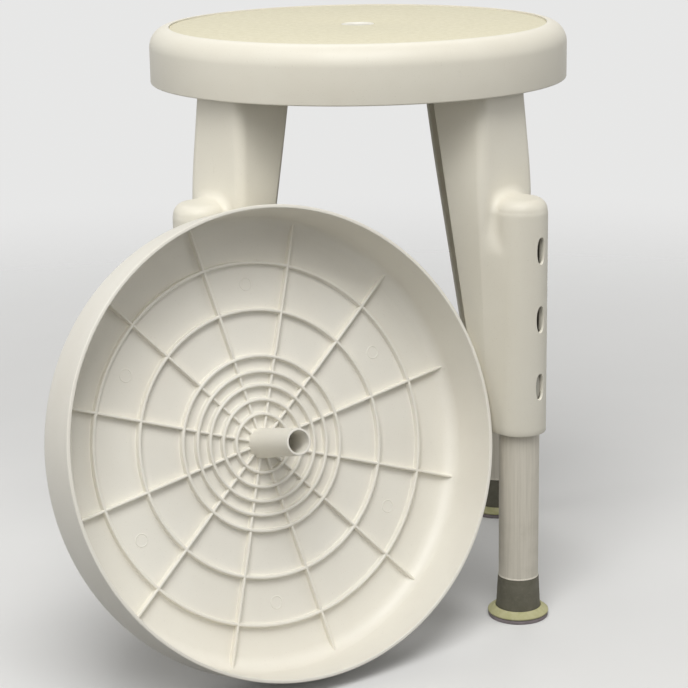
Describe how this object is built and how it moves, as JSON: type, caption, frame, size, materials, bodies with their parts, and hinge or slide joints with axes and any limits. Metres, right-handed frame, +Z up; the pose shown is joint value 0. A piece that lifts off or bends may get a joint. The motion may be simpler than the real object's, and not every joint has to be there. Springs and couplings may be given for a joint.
{
  "type": "round shower stool with swivel disc seat",
  "caption": "Round plastic shower stool with push-button height-adjustable legs; its wide swivel disc seat is lifted off and leans on them, ribbed underside outward.",
  "frame": {"origin": "on the floor, under the middle of the box round the stool and its leaning disc", "axes": "+Z up; -Y towards the viewer of the picture; +X to the viewer's right"},
  "size_m": [0.419, 0.5224, 0.49],
  "materials": {
    "moulding": "satin moulded plastic, warm off-white",
    "panel": "finely grained plastic, cream",
    "bush": "smooth plastic, natural white",
    "tube": "satin plastic pipe, light warm grey",
    "plug": "matt rubber, dark olive grey",
    "sole": "matt rubber, beige",
    "button": "satin plastic, light grey",
    "spring": "bright spring strip",
    "screw": "zinc plated"
  },
  "bodies": {
    "stool": {"seat_moulding": "moulding", "seat_top_panel": "panel", "pivot_bush": "bush", "leg_moulding_back_right": "moulding", "leg_screw_back_right_a": "screw", "leg_screw_back_right_b": "screw", "leg_moulding_back_left": "moulding", "leg_screw_back_left_a": "screw", "leg_screw_back_left_b": "screw", "leg_moulding_front_left": "moulding", "leg_screw_front_left_a": "screw", "leg_screw_front_left_b": "screw", "leg_moulding_front_right": "moulding", "leg_screw_front_right_a": "screw", "leg_screw_front_right_b": "screw"},
    "leg_back_right": {"extension_tube_back_right": "tube", "foot_plug_back_right": "plug", "foot_sole_back_right": "sole", "lock_spring_back_right": "spring"},
    "button_back_right": {"lock_button_back_right": "button"},
    "leg_back_left": {"extension_tube_back_left": "tube", "foot_plug_back_left": "plug", "foot_sole_back_left": "sole", "lock_spring_back_left": "spring"},
    "button_back_left": {"lock_button_back_left": "button"},
    "leg_front_left": {"extension_tube_front_left": "tube", "foot_plug_front_left": "plug", "foot_sole_front_left": "sole", "lock_spring_front_left": "spring"},
    "button_front_left": {"lock_button_front_left": "button"},
    "leg_front_right": {"extension_tube_front_right": "tube", "foot_plug_front_right": "plug", "foot_sole_front_right": "sole", "lock_spring_front_right": "spring"},
    "button_front_right": {"lock_button_front_right": "button"},
    "swivel_seat": {"swivel_disc": "moulding"}
  },
  "joints": [
    {"name": "leg_slide_back_right", "type": "slide", "parent": "stool", "child": "leg_back_right", "axis": [0, 0, 1], "range_m": [0, 0.114]},
    {"name": "button_press_back_right", "type": "slide", "parent": "leg_back_right", "child": "button_back_right", "axis": [-0.7071, -0.7071, 0], "range_m": [0, 0.003], "stiffness_N_per_m": 2000, "springref_m": -0.002, "deforming": ["lock_spring_back_right"]},
    {"name": "leg_slide_back_left", "type": "slide", "parent": "stool", "child": "leg_back_left", "axis": [0, 0, 1], "range_m": [0, 0.114]},
    {"name": "button_press_back_left", "type": "slide", "parent": "leg_back_left", "child": "button_back_left", "axis": [0.7071, -0.7071, 0], "range_m": [0, 0.003], "stiffness_N_per_m": 2000, "springref_m": -0.002, "deforming": ["lock_spring_back_left"]},
    {"name": "leg_slide_front_left", "type": "slide", "parent": "stool", "child": "leg_front_left", "axis": [0, 0, 1], "range_m": [0, 0.114]},
    {"name": "button_press_front_left", "type": "slide", "parent": "leg_front_left", "child": "button_front_left", "axis": [0.7071, 0.7071, 0], "range_m": [0, 0.003], "stiffness_N_per_m": 2000, "springref_m": -0.002, "deforming": ["lock_spring_front_left"]},
    {"name": "leg_slide_front_right", "type": "slide", "parent": "stool", "child": "leg_front_right", "axis": [0, 0, 1], "range_m": [0, 0.114]},
    {"name": "button_press_front_right", "type": "slide", "parent": "leg_front_right", "child": "button_front_right", "axis": [-0.7071, 0.7071, 0], "range_m": [0, 0.003], "stiffness_N_per_m": 2000, "springref_m": -0.002, "deforming": ["lock_spring_front_right"]},
    {"name": "seat_swivel", "type": "hinge", "parent": "stool", "child": "swivel_seat", "pos_m": [-0.02392, -0.15614, 0.19155], "axis": [0.4938, -0.825, 0.2748], "continuous": true}
  ]
}
